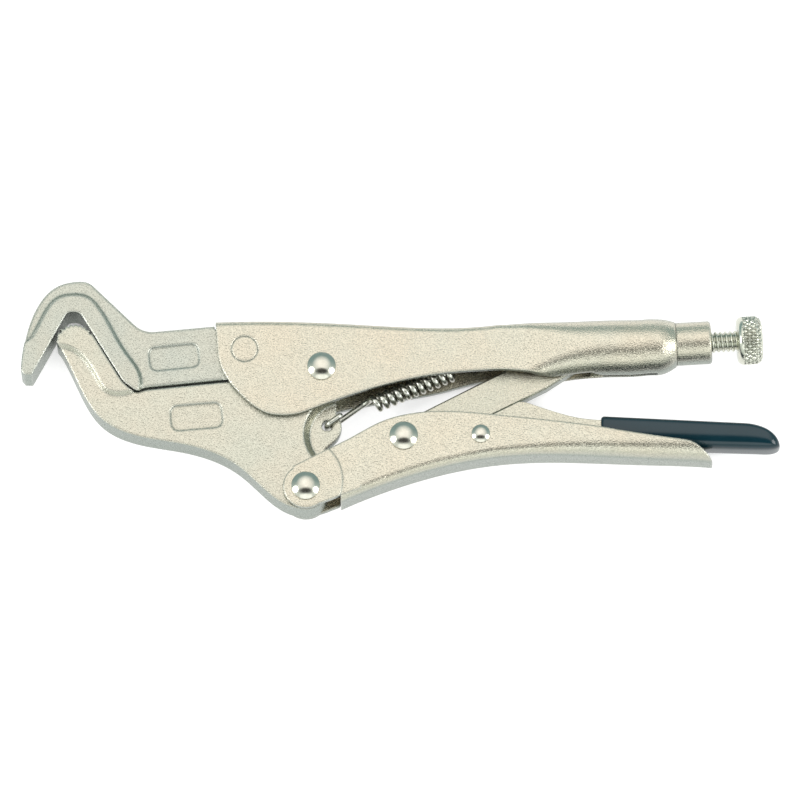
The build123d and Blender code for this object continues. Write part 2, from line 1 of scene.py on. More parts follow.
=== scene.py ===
# %% [markdown]
# Locking pliers, lying on their side on a white table.
#
# The solids of the tool come from the frame: two jaws, two pressed handles, the toggle link, the
# release lever, the rivets and the bush. This lesson loads them, adds the three pieces that solids
# show too plainly (the thread and knurl of the screw, the round wire of the spring and the dipped
# coat on the lever), gives every piece its finish, and sets up the table, the lights and the camera.

# %% Load the frame
import bpy
import math
import numpy as np
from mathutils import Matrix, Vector


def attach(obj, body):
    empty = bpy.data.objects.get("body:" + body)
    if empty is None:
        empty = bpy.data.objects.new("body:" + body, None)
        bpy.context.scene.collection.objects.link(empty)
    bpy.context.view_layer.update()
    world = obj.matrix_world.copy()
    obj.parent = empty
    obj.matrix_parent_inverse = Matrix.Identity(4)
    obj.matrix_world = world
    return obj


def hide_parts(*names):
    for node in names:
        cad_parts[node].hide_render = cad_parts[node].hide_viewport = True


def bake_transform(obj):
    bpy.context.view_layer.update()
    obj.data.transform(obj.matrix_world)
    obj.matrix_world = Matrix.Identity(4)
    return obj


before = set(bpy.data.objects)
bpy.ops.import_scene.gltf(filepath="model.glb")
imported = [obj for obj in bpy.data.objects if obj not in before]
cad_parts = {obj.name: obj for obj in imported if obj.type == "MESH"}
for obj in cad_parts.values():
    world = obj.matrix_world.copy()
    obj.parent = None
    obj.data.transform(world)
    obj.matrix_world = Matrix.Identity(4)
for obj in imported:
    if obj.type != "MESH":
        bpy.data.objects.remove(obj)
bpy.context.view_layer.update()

# %% [markdown]
# All lengths below are written in millimetres, as on a drawing, and turned into Blender's metres once,
# when a mesh is made. The origin is on the main pivot, on the table; the middle of the tool is at MID.
# Each new piece is a skin over a grid of points: rows run along it and columns run round it. Curves
# with a bevel or boolean cuts could make such pieces too, but a grid that is worked out in one go gives
# an even, closed mesh, and its formula can be read.

# %% Shared measures
MM = 0.001
MID = 9.4
scene = bpy.context.scene


def skin(name, grid):
    """Mesh from a grid of points in mm: rows run along the piece, columns run round it and close.
    Face (i, j) joins (i, j), (i, j+1), (i+1, j+1), (i+1, j); each end row gets one flat cap."""
    rows, cols = grid.shape[:2]
    i, j = np.meshgrid(np.arange(rows - 1), np.arange(cols), indexing="ij")
    k = (j + 1) % cols
    quads = np.stack([i * cols + j, i * cols + k, (i + 1) * cols + k, (i + 1) * cols + j], -1)
    faces = quads.reshape(-1, 4).tolist()
    faces.append(np.arange(cols)[::-1].tolist())
    faces.append(((rows - 1) * cols + np.arange(cols)).tolist())
    mesh = bpy.data.meshes.new(name)
    mesh.from_pydata((grid.reshape(-1, 3) * MM).tolist(), [], faces)
    mesh.polygons.foreach_set("use_smooth", np.ones(len(faces), bool))
    mesh.update()
    piece = bpy.data.objects.new(name, mesh)
    scene.collection.objects.link(piece)
    return piece


print("middle plane of the tool at", MID, "mm above the table")

# %% [markdown]
# The screw is one turned piece: a thread, and a knob with a cross knurl that gives the fingers hold.
# Both could be cut from a cylinder with booleans. Here they are heights over a cylinder instead: the
# radius depends on the place along the axis, s, and on the angle round it, a. A thread is a wave that
# climbs one pitch for each turn, so its wave runs in s / pitch - a / 2 pi. A knurl is two sets of V
# grooves that climb in opposite directions. Written that way, nothing has to be cut.

# %% Axis of the screw
UP = np.array([0.0, 0.0, 1.0])


def heading(degrees):
    """Direction in the plane of the table, at an angle from X: (cos, sin, 0)."""
    turn = math.radians(degrees)
    return np.array([math.cos(turn), math.sin(turn), 0.0])


def leftward(v):
    """A direction turned by a quarter in the plane of the table: (-y, x, 0)."""
    return np.array([-v[1], v[0], 0.0])


SCREW_FOOT = np.array([128.6, 10.34, MID])
SCREW_RISE = 3.25
SCREW_DIR = heading(SCREW_RISE)
SCREW_SIDE = leftward(SCREW_DIR)


def about_screw(s, a, radius):
    """Point at s along the screw, at angle a and a radius:
    foot + s dir + radius (side cos a + up sin a)."""
    ring = np.cos(a)[..., None] * SCREW_SIDE + np.sin(a)[..., None] * UP
    return SCREW_FOOT + s[..., None] * SCREW_DIR + radius[..., None] * ring


print("screw starts at", SCREW_FOOT, "and runs along", SCREW_DIR.round(3))

# %% The threaded shank
THREAD_R, THREAD_DEPTH, THREAD_PITCH = 3.48, 0.62, 1.6
SHANK_FROM, SHANK_TO = -37.4, 8.9
POINT_LEN, POINT_DROP = 1.6, 0.9
RUN_OUT_END, RUN_OUT_LEN = 0.1, 0.4
PITCH_ROWS, THREAD_COLS = 14, 48


def around(count):
    """Angles of even steps round a circle: step x 2 pi / count."""
    return np.arange(count) * 2 * np.pi / count


def thread_wave(turns):
    """Height of a rounded V thread, 1 on the crest and 0 in the root: a cosine pushed flat, as half +
    half x wave x (1.5 - half the wave squared)."""
    wave = np.cos(2 * np.pi * turns)
    return 0.5 + 0.5 * wave * (1.5 - 0.5 * wave**2)


s = np.arange(SHANK_FROM, SHANK_TO, THREAD_PITCH / PITCH_ROWS)
s, a = np.meshgrid(s, around(THREAD_COLS), indexing="ij")
point = np.clip((s - SHANK_FROM) / POINT_LEN, 0, 1)
run_out = np.clip((SHANK_TO - RUN_OUT_END - s) / RUN_OUT_LEN, 0, 1)
height = thread_wave(s / THREAD_PITCH - a / (2 * np.pi))
radius = THREAD_R - THREAD_DEPTH * (1 - height * run_out) - POINT_DROP * (1 - point) ** 2
screw_thread = skin("screw_thread", about_screw(s, a, radius))
print("thread:", len(screw_thread.data.polygons), "faces")

# %% Profile of the knob
KNOB_FROM, KNOB_R, KNOB_LEN = 8.6, 8.0, 8.4
SHOULDER, SHOULDER_DROP = 0.24, 1.9
RIM, RIM_DROP = 0.32, 2.8
SHOULDER_ROWS, BODY_ROWS, RIM_ROWS = 14, 44, 26
CORNER_CROWD, ROW_GAP = 1.6, 0.01


def fall(share, power=2.0):
    """Drop of a rounded corner at a share of its run, from 0 to 1: 1 - sqrt(1 - share to a power).
    The power 2 gives a quarter of an ellipse, a higher one a fuller corner."""
    return 1 - np.sqrt(np.clip(1 - share**power, 0, 1))


def knob_profile(t):
    """Radius along the knob, t from 0 to 1: a quarter ellipse up the shoulder, a straight run, and a
    quarter ellipse down the rim to the end face."""
    shoulder = np.clip(1 - t / SHOULDER, 0, 1)
    rim = np.clip((t - (1 - RIM)) / RIM, 0, 1)
    return KNOB_R - SHOULDER_DROP * fall(shoulder) - RIM_DROP * fall(rim)


knob_rows = np.concatenate([
    SHOULDER * np.linspace(0, 1, SHOULDER_ROWS) ** CORNER_CROWD,
    np.linspace(SHOULDER + ROW_GAP, 1 - RIM, BODY_ROWS),
    1 - RIM * np.linspace(1, 0, RIM_ROWS)[1:] ** CORNER_CROWD,
])
print("knob:", KNOB_LEN, "mm long,", 2 * KNOB_R, "mm across,", len(knob_rows), "rows")

# %% The knurled knob
KNURL_COUNT, KNURL_DEPTH = 24, 0.65
KNURL_LEAN, KNURL_LAND = 0.8, 0.45
KNURL_FROM, KNURL_FADE_IN, KNURL_FADE_OUT = 0.22, 0.05, 0.12
GROOVE_COLS = 15


def groove(turns):
    """Depth of a V groove, 1 at its bottom and 0 on the land: |2 frac - 1|, with the land cut flat."""
    v = np.abs(2 * (turns % 1.0) - 1)
    return np.clip((v - KNURL_LAND) / (1 - KNURL_LAND), 0, 1)


t, a = np.meshgrid(knob_rows, around(KNURL_COUNT * GROOVE_COLS), indexing="ij")
climb = KNURL_LEAN * t * KNOB_LEN * KNURL_COUNT / (2 * np.pi * KNOB_R)
turns = a * KNURL_COUNT / (2 * np.pi)
cut = np.maximum(groove(turns + climb), groove(turns - climb))
band = np.clip((t - KNURL_FROM) / KNURL_FADE_IN, 0, 1) * np.clip((1 - t) / KNURL_FADE_OUT, 0, 1)
radius = knob_profile(t) - KNURL_DEPTH * cut * band
screw_knob = skin("screw_knob", about_screw(KNOB_FROM + t * KNOB_LEN, a, radius))
print("knurl:", KNURL_COUNT, "grooves each way,", len(screw_knob.data.polygons), "faces")

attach(screw_thread, "screw")
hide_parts("adjusting_screw")
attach(screw_knob, "screw")

# %% [markdown]
# The return spring is round wire that pulls the jaws open. A Screw modifier could wind its coil, but
# not its hook and its ends. So its middle line is drawn piece by piece: a hook through the lug of the
# moving jaw, a straight leg, eleven turns round a slanted axis, and a bent end in the fixed handle. A
# round tube is then carried along that line, a little thicker than the solid's wire, so that the turns
# lie close. A tube needs a steady "sideways" at every point; because the line is known, a direction
# that is never along the wire is simply written down for each stretch.

# %% Places on the spring


def unit(v):
    """A vector over its own length, for one vector or for rows of them."""
    v = np.asarray(v, float)
    return v / np.linalg.norm(v, axis=-1, keepdims=True)


WIRE_R, COIL_R, COIL_TURNS = 0.95, 2.2, 11
LUG = np.array([1.85, -18.8, MID])
COIL_START = np.array([17.3, -10.95, MID])
COIL_END = np.array([43.4, 0.15, MID])
COIL_DIR = unit(COIL_END - COIL_START)
COIL_SIDE = leftward(COIL_DIR)
LEG_RISE, LEG_LEN = 36, 13.6
LEG_DIR = heading(LEG_RISE)
LEG_SIDE = leftward(LEG_DIR)
HOOK_Z, HOOK_TAIL, BEND = 3.125, 4.3, 1.875
TAB_X, BEFORE_TAB, PAST_TAB, END_TAIL = 50.2, 2.0, 2.6, 2.5

hook_top = LUG + UP * (HOOK_Z - BEND)
hook_foot = LUG - UP * (HOOK_Z - BEND)
front = LUG + LEG_DIR * BEND + UP * HOOK_Z
back = LUG + LEG_DIR * BEND - UP * HOOK_Z
leg_end = LUG + LEG_DIR * LEG_LEN - UP * HOOK_Z
tab = COIL_START + COIL_DIR * ((TAB_X - COIL_START[0]) / COIL_DIR[0])
run_in, bend_at = tab - COIL_DIR * BEFORE_TAB, tab + COIL_DIR * PAST_TAB
up_end = bend_at + (COIL_DIR + COIL_SIDE) * BEND
print("coil:", round(float(np.linalg.norm(COIL_END - COIL_START)), 1), "mm long,", COIL_TURNS, "turns")

# %% Ways to draw its line
EASE_PULL = 1.6
TURN_STEPS = 40


def straight(p, q, count):
    """Points from p to q at even steps: p + w (q - p)."""
    w = np.linspace(0, 1, count)[:, None]
    return p + w * (q - p)


def quarter(p, along, to, count=9):
    """Quarter circle of radius BEND from p, leaving along one direction and arriving along another:
    p + BEND (along sin w + to (1 - cos w))."""
    w = np.linspace(0, np.pi / 2, count)[:, None]
    return p + BEND * (along * np.sin(w) + to * (1 - np.cos(w)))


def ease(p, p_dir, q, q_dir, count=17):
    """Cubic from p to q that leaves along p_dir and arrives along q_dir, each with the same pull: the
    ends weigh (1 - w) cubed and w cubed, the two pulled points 3 (1 - w) squared w and
    3 (1 - w) w squared."""
    w = np.linspace(0, 1, count)[:, None]
    near, far = p + p_dir * EASE_PULL, q - q_dir * EASE_PULL
    return (1 - w) ** 3 * p + 3 * (1 - w) ** 2 * w * near + 3 * (1 - w) * w**2 * far + w**3 * q


def coil(turns):
    """Helix: start + (end - start) turns / all turns + radius (side cos a + up sin a), a = 2 pi turns."""
    a = 2 * np.pi * turns[:, None]
    rise = COIL_START + (COIL_END - COIL_START) * turns[:, None] / COIL_TURNS
    return rise + COIL_R * (COIL_SIDE * np.cos(a) + UP * np.sin(a))


coil_line = coil(np.linspace(0, COIL_TURNS, COIL_TURNS * TURN_STEPS + 1))
coil_way = unit(UP * COIL_R * 2 * np.pi + (COIL_END - COIL_START) / COIL_TURNS)
print("coil line:", len(coil_line), "points")

# %% Middle line of the spring
runs = [
    (straight(front + LEG_DIR * HOOK_TAIL, front, 6), LEG_SIDE),
    (quarter(front, -LEG_DIR, -UP), LEG_SIDE),
    (straight(hook_top, hook_foot, 4), LEG_SIDE),
    (quarter(hook_foot, -UP, LEG_DIR), LEG_SIDE),
    (straight(back, leg_end, 12), LEG_SIDE),
    (ease(leg_end, LEG_DIR, coil_line[0], coil_way), COIL_DIR),
    (coil_line, COIL_DIR),
    (ease(coil_line[-1], coil_way, run_in, COIL_DIR), -UP),
    (straight(run_in, bend_at, 8), -UP),
    (quarter(bend_at, COIL_DIR, COIL_SIDE), -UP),
    (straight(up_end, up_end + COIL_SIDE * END_TAIL, 4), -UP),
]
line = np.concatenate([points[:-1] for points, _ in runs] + [runs[-1][0][-1:]])
sides = [np.tile(side, (len(points) - 1, 1)) for points, side in runs]
aside = np.concatenate(sides + [runs[-1][1][None]])
steps = np.linalg.norm(np.diff(line, axis=0), axis=1)
print("spring wire:", round(steps.sum(), 1), "mm long,", len(line), "points")

# %% Round wire along the line
WIRE_SIDES = 14
SMOOTH = 15
END_ROUND, END_LEAST = 0.4, 0.16


def smooth_rows(rows, width):
    """Moving average of the rows of an array, with the end rows repeated beyond the ends."""
    padded = np.concatenate([np.repeat(rows[:1], width, 0), rows, np.repeat(rows[-1:], width, 0)])
    total = np.cumsum(np.concatenate([np.zeros((1, 3)), padded]), axis=0)
    span = 2 * width + 1
    return (total[span:] - total[:-span]) / span


way = unit(np.gradient(line, axis=0))
aside = smooth_rows(aside, SMOOTH)
across = unit(aside - way * np.sum(aside * way, axis=1, keepdims=True))
third = np.cross(way, across)
a = around(WIRE_SIDES)
ring = np.cos(a)[None, :, None] * across[:, None] + np.sin(a)[None, :, None] * third[:, None]
along = np.cumsum(np.concatenate([[0], steps]))
from_end = np.clip(np.minimum(along, along[-1] - along) / END_ROUND, 0, 1)
radius = WIRE_R * np.sqrt(np.clip(1 - (1 - from_end) ** 2, END_LEAST, 1))
spring_wire = skin("spring_wire", line[:, None] + radius[:, None, None] * ring)
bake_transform(spring_wire)
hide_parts("return_spring")
print("spring tube:", len(spring_wire.data.polygons), "faces")

# %% [markdown]
# The tail of the release lever is dipped in soft plastic. A box with bevelled edges could stand for the
# coat, but a dipped coat has no corner anywhere. So it is a rounded bar that follows the lever and ends
# in a smooth nose. Each cross section is a superellipse, a shape between an ellipse and a rectangle,
# whose flat sides roll over into the edges. The lower half narrows towards its edge and hangs a little
# lower, as a dipped layer does.

# %% Outline of the coat
GRIP_FROM, GRIP_TO = 92.0, 150.9
TOP_AT, TOP_SLOPE = -15.9, 0.0496
LOW_AT, LOW_SLOPE = -25.6, 0.0272
NOSE_FROM, NOSE_DROP, NOSE_POWER = 139.0, 7.4, 2.1
TUCK_FROM, TUCK_LIFT, TUCK_POWER = 145.5, 1.8, 2.4
LIP_LEN, LIP_DROP = 1.2, 1.0
GRIP_SWELL = 0.3
BAR_FROM, BAR_TO, TAIL_FROM = 94.0, 136.0, 137.0
LIP_ROWS, BAR_ROWS, TAIL_ROWS = 9, 40, 40


def grip_top(x):
    """Upper edge of the coat in mm: a straight run, then a rounded fall to the tip."""
    nose = np.clip((x - NOSE_FROM) / (GRIP_TO - NOSE_FROM), 0, 1)
    return TOP_AT - TOP_SLOPE * (x - GRIP_FROM) - NOSE_DROP * fall(nose, NOSE_POWER)


def grip_low(x):
    """Lower edge of the coat in mm: one straight line, lowered by the swell."""
    return LOW_AT - LOW_SLOPE * (x - GRIP_FROM) - GRIP_SWELL


x = np.concatenate([
    GRIP_FROM + LIP_LEN * (1 - np.cos(np.linspace(0, np.pi / 2, LIP_ROWS))),
    np.linspace(BAR_FROM, BAR_TO, BAR_ROWS),
    GRIP_TO - (GRIP_TO - TAIL_FROM) * (1 - np.sin(np.linspace(0, np.pi / 2, TAIL_ROWS))),
])
lip = LIP_DROP * fall(1 - np.clip((x - GRIP_FROM) / LIP_LEN, 0, 1))
tuck = 1 - fall(np.clip((x - TUCK_FROM) / (GRIP_TO - TUCK_FROM), 0, 1), TUCK_POWER)
top = grip_top(x) - lip
low = grip_low(x) + lip + TUCK_LIFT * (1 - tuck)
print("coat:", round(GRIP_TO - GRIP_FROM, 1), "mm long,", round(float(max(top - low)), 1), "mm high")

# %% The dipped coat
GRIP_HALF, TIP_SHARE = 6.0, 0.35
GRIP_COLS, GRIP_POWER = 64, 4.5
GRIP_CROWN, CROWN_POWER = 0.24, 1.2
LEAST_HEIGHT, LEAST_WIDTH = 0.02, 0.05


def squared(wave):
    """Cosine or sine pushed towards a square wave: sign x |wave| to the power 2 / GRIP_POWER."""
    return np.sign(wave) * np.abs(wave) ** (2 / GRIP_POWER)


centre = (top + low) / 2
half_high = np.maximum((top - low) / 2, LEAST_HEIGHT)
half_wide = np.maximum((GRIP_HALF - lip) * (TIP_SHARE + (1 - TIP_SHARE) * tuck), LEAST_WIDTH)
c, d = squared(np.cos(around(GRIP_COLS))), squared(np.sin(around(GRIP_COLS)))
crown = GRIP_CROWN * half_high[:, None] * np.clip(-c, 0, 1) ** CROWN_POWER
grid = np.stack([
    np.broadcast_to(x[:, None], (len(x), GRIP_COLS)),
    centre[:, None] + half_high[:, None] * c,
    MID - (half_wide[:, None] - crown) * d,
], -1)
grip_coat = skin("grip_coat", grid[:, ::-1])
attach(grip_coat, "lever")
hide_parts("lever_grip")
print("coat:", len(grip_coat.data.polygons), "faces")

# %% [markdown]
# A finish could be a picture wrapped round the piece. Here every finish is a small tree of nodes
# instead, which has no seams and can be tuned by its numbers. The same few steps come back in all of
# them: noise on Object coordinates, a straight ramp from one range of numbers to another, a mix of two
# colours, and a bump. Each step is a function that adds its node to a tree.

# %% Nodes for numbers


def new_finish(name):
    """A new material: (the material, its node tree, its Principled shader)."""
    material = bpy.data.materials.new(name)
    material.use_nodes = True
    tree = material.node_tree
    return material, tree, tree.nodes["Principled BSDF"]


def noise(tree, scale, detail, roughness):
    """Noise on Object coordinates; scale is in waves for each metre."""
    place = tree.nodes.new("ShaderNodeTexCoord")
    texture = tree.nodes.new("ShaderNodeTexNoise")
    texture.inputs["Scale"].default_value = scale
    texture.inputs["Detail"].default_value = detail
    texture.inputs["Roughness"].default_value = roughness
    tree.links.new(place.outputs["Object"], texture.inputs["Vector"])
    return texture.outputs["Fac"]


def ramp(tree, source, low, high, to_low=0.0, to_high=1.0):
    """Straight line that takes low to to_low and high to to_high, clamped beyond both."""
    node = tree.nodes.new("ShaderNodeMapRange")
    ends = {"From Min": low, "From Max": high, "To Min": to_low, "To Max": to_high}
    for socket, value in ends.items():
        node.inputs[socket].default_value = value
    tree.links.new(source, node.inputs["Value"])
    return node.outputs["Result"]


print("noise and ramp ready")

# %% Nodes for colour and relief
MIX_SHARE, MIX_FIRST, MIX_SECOND, MIX_RESULT = 0, 6, 7, 2


def mix(tree, share, first, second, mode="MIX"):
    """Colour between two, first x (1 - share) + second x share in the plain mode: each colour is given
    as numbers or as a socket, and so is the share."""
    node = tree.nodes.new("ShaderNodeMix")
    node.data_type = "RGBA"
    node.blend_type = mode
    for index, value in ((MIX_SHARE, share), (MIX_FIRST, first), (MIX_SECOND, second)):
        if isinstance(value, bpy.types.NodeSocket):
            tree.links.new(value, node.inputs[index])
        else:
            node.inputs[index].default_value = value if isinstance(value, float) else (*value, 1.0)
    return node.outputs[MIX_RESULT]


def times(tree, first, second):
    """Colour that is one colour times another, channel by channel."""
    return mix(tree, 1.0, first, second, "MULTIPLY")


def relief(tree, shader, height, strength, depth, normal=None):
    """Tilt the shader's normal by the slope of a height: strength x depth in metres, over a normal."""
    node = tree.nodes.new("ShaderNodeBump")
    node.inputs["Strength"].default_value = strength
    node.inputs["Distance"].default_value = depth
    tree.links.new(height, node.inputs["Height"])
    if normal is not None:
        tree.links.new(normal, node.inputs["Normal"])
    tree.links.new(node.outputs["Normal"], shader.inputs["Normal"])


print("mix and relief ready")

# %% [markdown]
# Rubbed wear and painted light follow the form. Edges are brightened, partly as rubbed wear and partly
# as a painted highlight: the Bevel node rounds edges in the shading, and where its normal differs from
# the true one there is an edge. Corners and channels get painted shade: the Ambient Occlusion node
# tells how far the piece's own walls close in. Both could be painted by hand, but masks that read the
# form follow it when a size changes.

# %% Masks for edges, sides and corners
MASK_SAMPLES = 6
EDGE_FROM, EDGE_FULL = 0.98, 0.75
LYING, STANDING = 0.75, 0.25
CLOSED_IN, OPEN = 0.35, 0.92


def rounded_normal(tree, radius):
    """Normal of the surface with its edges rounded to a radius in metres, in the shading alone."""
    bevel = tree.nodes.new("ShaderNodeBevel")
    bevel.samples = MASK_SAMPLES
    bevel.inputs["Radius"].default_value = radius
    return bevel.outputs["Normal"]


def edge_mask(tree, rounded, most):
    """0 on faces, up to most on edges: dot(rounded normal, true normal) from EDGE_FROM down to
    EDGE_FULL, made 0 to most."""
    geometry = tree.nodes.new("ShaderNodeNewGeometry")
    dot = tree.nodes.new("ShaderNodeVectorMath")
    dot.operation = "DOT_PRODUCT"
    tree.links.new(rounded, dot.inputs[0])
    tree.links.new(geometry.outputs["Normal"], dot.inputs[1])
    return ramp(tree, dot.outputs["Value"], EDGE_FROM, EDGE_FULL, 0.0, most)


def upright_share(tree):
    """0 on faces that lie flat, 1 on faces that stand upright: |z of the normal| from LYING down to
    STANDING, made 0 to 1."""
    geometry = tree.nodes.new("ShaderNodeNewGeometry")
    axes = tree.nodes.new("ShaderNodeSeparateXYZ")
    size = tree.nodes.new("ShaderNodeMath")
    size.operation = "ABSOLUTE"
    tree.links.new(geometry.outputs["Normal"], axes.inputs[0])
    tree.links.new(axes.outputs["Z"], size.inputs[0])
    return ramp(tree, size.outputs[0], LYING, STANDING)


def painted_crevice_shade(tree, reach, darkest):
    """Painted shade: white in the open, sinking to the colour darkest where the piece's own walls close
    in within a reach in metres."""
    shade = tree.nodes.new("ShaderNodeAmbientOcclusion")
    shade.samples = MASK_SAMPLES
    shade.only_local = True
    shade.inputs["Distance"].default_value = reach
    return mix(tree, ramp(tree, shade.outputs["AO"], CLOSED_IN, OPEN), darkest, (1.0, 1.0, 1.0))


print("masks ready")

# %% [markdown]
# The steel is blasted with fine grit and plated with nickel. Grit leaves pits about a third of a
# millimetre across. Geometry so fine would need millions of faces, so the finish has layers of noise
# instead: a fine one that bumps the surface and spots the colour, and a broad one that makes the
# plating a little warmer or cooler from place to place. The hook jaw is a little cooler and darker
# than the moving jaw, and the link and the lever are a touch greyer than the handles.

# %% Grit-blasted nickel
PLATING_SCALE = 55.0
FLECK_SHARE, FLECK_TONE = 0.8, (0.95, 1.04)
PIT_TONE = (0.80, 1.0)
# Painted highlight and rubbed wear together: edges are mixed towards this pale colour.
WORN_GLINT_TONE, WORN_GLINT_MOST = (0.86, 0.85, 0.80), 0.5


def blasted_nickel(name, warm, cool, side, grain, bump, rough, edge_r, reach, corner_shade):
    """Nickel over grit-blasted steel: warm and cool plating colours, a darker colour painted as shade on
    faces that stand upright, grain in waves for each metre, bump height in metres, a (low, high) pair of
    roughness, the radius of the rounded, brightened edges, and the reach and colour of the painted shade
    in corners. The colour is plating x flecks x pits x painted corner shade, with the edges mixed towards
    bright metal as rubbed wear and painted highlight."""
    material, tree, shader = new_finish(name)
    shader.inputs["Metallic"].default_value = 1.0
    fine = noise(tree, grain, 1.0, 0.45)
    fleck = noise(tree, grain * FLECK_SHARE, 1.0, 0.5)
    broad = noise(tree, PLATING_SCALE, 3.0, 0.55)
    rounded = rounded_normal(tree, edge_r)
    colour = mix(tree, ramp(tree, broad, 0.35, 0.68), warm, cool)
    # painted shade: faces that stand upright take a darker colour
    colour = mix(tree, upright_share(tree), colour, side)
    colour = times(tree, colour, ramp(tree, fleck, 0.3, 0.7, *FLECK_TONE))
    colour = times(tree, colour, ramp(tree, fine, 0.30, 0.52, *PIT_TONE))
    # painted shade: the colour darkens where the piece's own walls close in
    colour = times(tree, colour, painted_crevice_shade(tree, reach, corner_shade))
    # edges brightened in the colour, partly as rubbed wear and partly as a painted highlight
    colour = mix(tree, edge_mask(tree, rounded, WORN_GLINT_MOST), colour, WORN_GLINT_TONE)
    tree.links.new(colour, shader.inputs["Base Color"])
    tree.links.new(ramp(tree, fine, 0.3, 0.7, rough[1], rough[0]), shader.inputs["Roughness"])
    relief(tree, shader, fine, 1.0, bump, rounded)
    return material


# Painted shade: these darker colours go on faces that stand upright.
SHEET_SHADED_SIDE, FORGED_SHADED_SIDE = (0.39, 0.42, 0.38), (0.335, 0.375, 0.33)
# Painted shade: the last colour given to each finish below darkens it where the piece's own walls close
# in, to a deep blue-black inside the channel of the pressed handles.
FORGED = dict(
    side=FORGED_SHADED_SIDE, grain=2300.0, bump=1.3e-4, rough=(0.23, 0.31),
    edge_r=1.2e-3, reach=1.5e-3, corner_shade=(0.42, 0.45, 0.43),
)
pressed = blasted_nickel(
    "pressed_nickel", (0.79, 0.72, 0.59), (0.76, 0.725, 0.61),
    side=SHEET_SHADED_SIDE, grain=2400.0, bump=1.4e-4, rough=(0.22, 0.30),
    edge_r=1.1e-3, reach=9e-3, corner_shade=(0.03, 0.075, 0.095),
)
forged = blasted_nickel("forged_nickel", (0.725, 0.68, 0.57), (0.69, 0.68, 0.58), **FORGED)
hook = blasted_nickel("hook_nickel", (0.645, 0.63, 0.545), (0.615, 0.63, 0.56), **FORGED)
blade = blasted_nickel(
    "blade_nickel", (0.75, 0.705, 0.585), (0.71, 0.69, 0.58),
    side=SHEET_SHADED_SIDE, grain=2500.0, bump=1.3e-4, rough=(0.24, 0.34),
    edge_r=4e-4, reach=5e-3, corner_shade=(0.15, 0.19, 0.19),
)
print("blasted nickel:", [material.name for material in (pressed, forged, hook, blade)])

# %% Nickel on the steel pieces


def dress(material, *names):
    """Give the named solids one finish in place of the plain one that they came with."""
    for name in names:
        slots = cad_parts[name].data.materials
        slots.clear()
        slots.append(material)


dress(pressed, "upper_handle", "lower_handle", "end_bush", "jaw_pin")
dress(hook, "upper_jaw")
dress(forged, "lower_jaw")
dress(blade, "toggle_link", "release_lever")
print("blasted nickel on handles, jaws, link, lever and bush")

# %% [markdown]
# Rivet heads are pressed by a polished tool, so they shine; the plating only dulls them in faint
# clouds. The screw is turned and plated, bright on its crests, with painted shade in its grooves. The
# spring is drawn wire, softer in its shine. Each could have its own tree, but the three differ only in
# numbers, so one function makes them. The coat is a soft glossy plastic, blue-black, with the faint
# ripple of a dipped layer; a thin clear coat in its shader gives the wet look.

# %% Bright metal
METAL_GRAIN = 2500.0
METAL_EDGE_R = 2.5e-4
# Painted shade colour for the grooves and crevices of the bright metal.
GROOVE_SHADE = (0.20, 0.21, 0.19)


def bright_metal(name, colour, dull, rough, clouds, bump, reach):
    """Smooth plated metal: two close colours in clouds, roughness between a pair that follows the same
    clouds, a faint fine bump in metres, and painted shade in the grooves within a reach."""
    material, tree, shader = new_finish(name)
    shader.inputs["Metallic"].default_value = 1.0
    cloud = noise(tree, clouds, 3.0, 0.55)
    fine = noise(tree, METAL_GRAIN, 2.0, 0.5)
    tone = mix(tree, ramp(tree, cloud, 0.35, 0.7), colour, dull)
    # painted shade: the colour darkens in grooves where the piece's own walls close in
    tree.links.new(times(tree, tone, painted_crevice_shade(tree, reach, GROOVE_SHADE)), shader.inputs["Base Color"])
    tree.links.new(ramp(tree, cloud, 0.3, 0.7, *rough), shader.inputs["Roughness"])
    relief(tree, shader, fine, 0.5, bump, rounded_normal(tree, METAL_EDGE_R))
    return material


rivet_head = bright_metal(
    "rivet_nickel", (0.80, 0.77, 0.68), (0.72, 0.69, 0.60),
    rough=(0.13, 0.21), clouds=500.0, bump=6e-6, reach=1e-3,
)
turned = bright_metal(
    "turned_nickel", (0.77, 0.77, 0.67), (0.69, 0.695, 0.605),
    rough=(0.14, 0.24), clouds=400.0, bump=1e-5, reach=9e-4,
)
drawn = bright_metal(
    "drawn_wire", (0.80, 0.79, 0.71), (0.66, 0.66, 0.60),
    rough=(0.24, 0.34), clouds=700.0, bump=8e-6, reach=1e-3,
)
print("bright metal:", [material.name for material in (rivet_head, turned, drawn)])

# %% Dipped plastic
PLASTIC_DARK, PLASTIC_LIGHT = (0.003, 0.026, 0.039), (0.005, 0.033, 0.048)
RIPPLE_SCALE, SKIN_SCALE, SKIN_ROUGH = 90.0, 900.0, (0.13, 0.19)


def dipped_plastic(name):
    """Glossy blue-black plastic: broad faint clouds of colour, a slow ripple in the surface."""
    material, tree, shader = new_finish(name)
    shader.inputs["IOR"].default_value = 1.5
    shader.inputs["Coat Weight"].default_value = 0.2
    shader.inputs["Coat Roughness"].default_value = 0.08
    cloud = noise(tree, RIPPLE_SCALE, 3.0, 0.5)
    fine = noise(tree, SKIN_SCALE, 2.0, 0.5)
    tree.links.new(mix(tree, cloud, PLASTIC_DARK, PLASTIC_LIGHT), shader.inputs["Base Color"])
    tree.links.new(ramp(tree, fine, 0.3, 0.7, *SKIN_ROUGH), shader.inputs["Roughness"])
    relief(tree, shader, cloud, 0.25, 1.2e-4)
    return material


dipped = dipped_plastic("dipped_coat")
print("plastic:", dipped.name)

